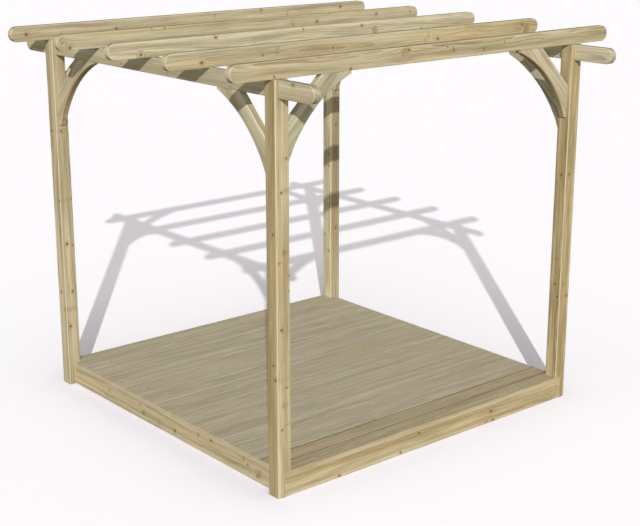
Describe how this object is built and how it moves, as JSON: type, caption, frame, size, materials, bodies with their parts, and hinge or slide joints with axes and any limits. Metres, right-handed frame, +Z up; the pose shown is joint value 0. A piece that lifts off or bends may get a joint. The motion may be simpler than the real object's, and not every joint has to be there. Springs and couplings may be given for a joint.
{
  "type": "wooden pergola with deck",
  "caption": "Open garden pergola: square posts with slotted-in beams, round-ended rafters and arched corner braces, standing round a boarded timber deck.",
  "frame": {"origin": "on the ground at the middle of the rectangle of posts", "axes": "+X along the rafters and deck boards, +Y along the beams with the front at -Y, +Z up"},
  "size_m": [2.9298, 2.9298, 2.41],
  "materials": {
    "post": "planed softwood, pressure treated, matt",
    "beam": "planed softwood, pressure treated, matt",
    "rafter": "planed softwood, pressure treated, matt",
    "brace": "planed softwood, pressure treated, matt",
    "joist": "planed softwood, pressure treated, matt",
    "board": "planed softwood, pressure treated, matt"
  },
  "bodies": {
    "root": {"front_left_post": "post", "front_right_post": "post", "back_left_post": "post", "back_right_post": "post", "left_beam": "beam", "right_beam": "beam", "rafter_1": "rafter", "rafter_2": "rafter", "rafter_3": "rafter", "rafter_4": "rafter", "rafter_5": "rafter", "front_left_beam_brace": "brace", "front_right_beam_brace": "brace", "back_left_beam_brace": "brace", "back_right_beam_brace": "brace", "front_left_rafter_brace": "brace", "front_right_rafter_brace": "brace", "back_left_rafter_brace": "brace", "back_right_rafter_brace": "brace", "front_joist": "joist", "back_joist": "joist", "left_joist": "joist", "right_joist": "joist", "inner_joists": "joist", "deck_board_1": "board", "deck_board_2": "board", "deck_board_3": "board", "deck_board_4": "board", "deck_board_5": "board", "deck_board_6": "board", "deck_board_7": "board", "deck_board_8": "board", "deck_board_9": "board", "deck_board_10": "board", "deck_board_11": "board", "deck_board_12": "board", "deck_board_13": "board", "deck_board_14": "board", "deck_board_15": "board", "deck_board_16": "board", "deck_board_17": "board", "deck_board_18": "board", "deck_board_19": "board", "deck_board_20": "board"}
  },
  "joints": []
}
